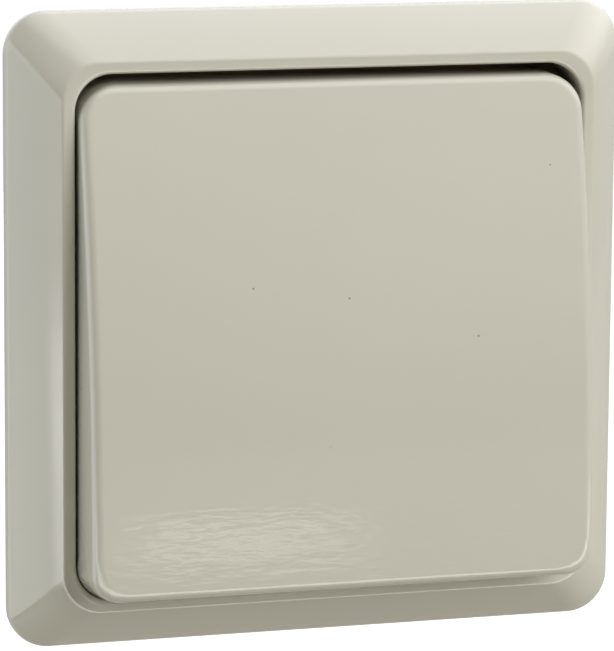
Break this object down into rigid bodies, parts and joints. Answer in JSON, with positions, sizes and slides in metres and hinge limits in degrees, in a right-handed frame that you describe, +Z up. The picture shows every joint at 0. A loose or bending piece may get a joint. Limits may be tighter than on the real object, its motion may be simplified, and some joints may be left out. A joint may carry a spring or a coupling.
{
  "type": "push button light switch",
  "caption": "Flush wall push button: square cover frame, large sprung rocker plate, and an insert with contacts, wire clamps and spreading claws.",
  "frame": {"origin": "the middle of the switch on the wall's face, at the support plate's back", "axes": "+X to the right seen from the room, +Y into the wall, +Z up"},
  "size_m": [0.0804, 0.0389, 0.0804],
  "materials": {
    "frame_plastic": "high-gloss moulded cream plastic",
    "rocker_plastic": "high-gloss moulded cream plastic",
    "inner_plastic": "moulded, light grey",
    "base_plastic": "moulded, dark grey",
    "plunger_plastic": "moulded, red brown",
    "lever_plastic": "moulded, orange",
    "dark_steel": "dark passivated sheet",
    "zinc_sheet": "zinc-plated rivets",
    "claw_steel": "zinc-plated, bent",
    "screw_steel": "zinc-plated",
    "spring_steel": "bright",
    "contact_brass": "stamped",
    "contact_tips": "silver alloy buttons"
  },
  "bodies": {
    "insert": {"cover_frame": "frame_plastic", "support_plate": "dark_steel", "plate_rivets": "zinc_sheet", "switch_base": "base_plastic", "base_cover": "inner_plastic", "line_contact_strip": "contact_brass", "load_contact_strip": "contact_brass", "fixed_contacts": "contact_tips", "line_clamp_spring": "spring_steel", "load_clamp_spring": "spring_steel", "left_claw_spring": "spring_steel", "right_claw_spring": "spring_steel", "return_spring": "spring_steel", "plunger_spring": "spring_steel"},
    "rocker": {"rocker_plate": "rocker_plastic", "rocker_cradle": "inner_plastic"},
    "plunger": {"contact_plunger": "plunger_plastic", "contact_bridge": "contact_brass", "bridge_contacts": "contact_tips"},
    "line_lever": {"line_release_lever": "lever_plastic"},
    "load_lever": {"load_release_lever": "lever_plastic"},
    "left_screw": {"left_claw_screw": "screw_steel"},
    "right_screw": {"right_claw_screw": "screw_steel"},
    "left_claw_body": {"left_claw": "claw_steel"},
    "right_claw_body": {"right_claw": "claw_steel"}
  },
  "joints": [
    {"name": "rocker_press", "type": "hinge", "parent": "insert", "child": "rocker", "pos_m": [0, -0.007, 0], "axis": [1, 0, 0], "range_deg": [0, 9], "stiffness_Nm_per_rad": 0.5, "springref_deg": -4.58, "deforming": ["return_spring", "plunger_spring"]},
    {"name": "plunger_slide", "type": "slide", "parent": "insert", "child": "plunger", "axis": [0, 1, 0], "range_m": [0, 0.002], "deforming": ["plunger_spring"]},
    {"name": "line_release", "type": "slide", "parent": "insert", "child": "line_lever", "axis": [0, -1, 0], "range_m": [0, 0.0018], "stiffness_N_per_m": 2000, "deforming": ["line_clamp_spring"]},
    {"name": "load_release", "type": "slide", "parent": "insert", "child": "load_lever", "axis": [0, -1, 0], "range_m": [0, 0.0018], "stiffness_N_per_m": 2000, "deforming": ["load_clamp_spring"]},
    {"name": "left_screw_turn", "type": "hinge", "parent": "insert", "child": "left_screw", "pos_m": [-0.0259, 0, 0.0085], "axis": [0, 1, 0], "range_deg": [0, 1080]},
    {"name": "right_screw_turn", "type": "hinge", "parent": "insert", "child": "right_screw", "pos_m": [0.0259, 0, -0.0085], "axis": [0, 1, 0], "range_deg": [0, 1080]},
    {"name": "left_claw_spread", "type": "hinge", "parent": "insert", "child": "left_claw_body", "pos_m": [-0.0219, 0.0036, 0.0085], "axis": [0, 0, 1], "range_deg": [0, 22], "deforming": ["left_claw_spring"]},
    {"name": "right_claw_spread", "type": "hinge", "parent": "insert", "child": "right_claw_body", "pos_m": [0.0219, 0.0036, -0.0085], "axis": [0, 0, -1], "range_deg": [0, 22], "deforming": ["right_claw_spring"]}
  ],
  "couplings": [
    {"joint": "plunger_slide", "follows": "rocker_press", "m_per_rad": 0.01272},
    {"joint": "left_screw_turn", "follows": "left_claw_spread", "ratio": 49.09},
    {"joint": "right_screw_turn", "follows": "right_claw_spread", "ratio": 49.09}
  ]
}
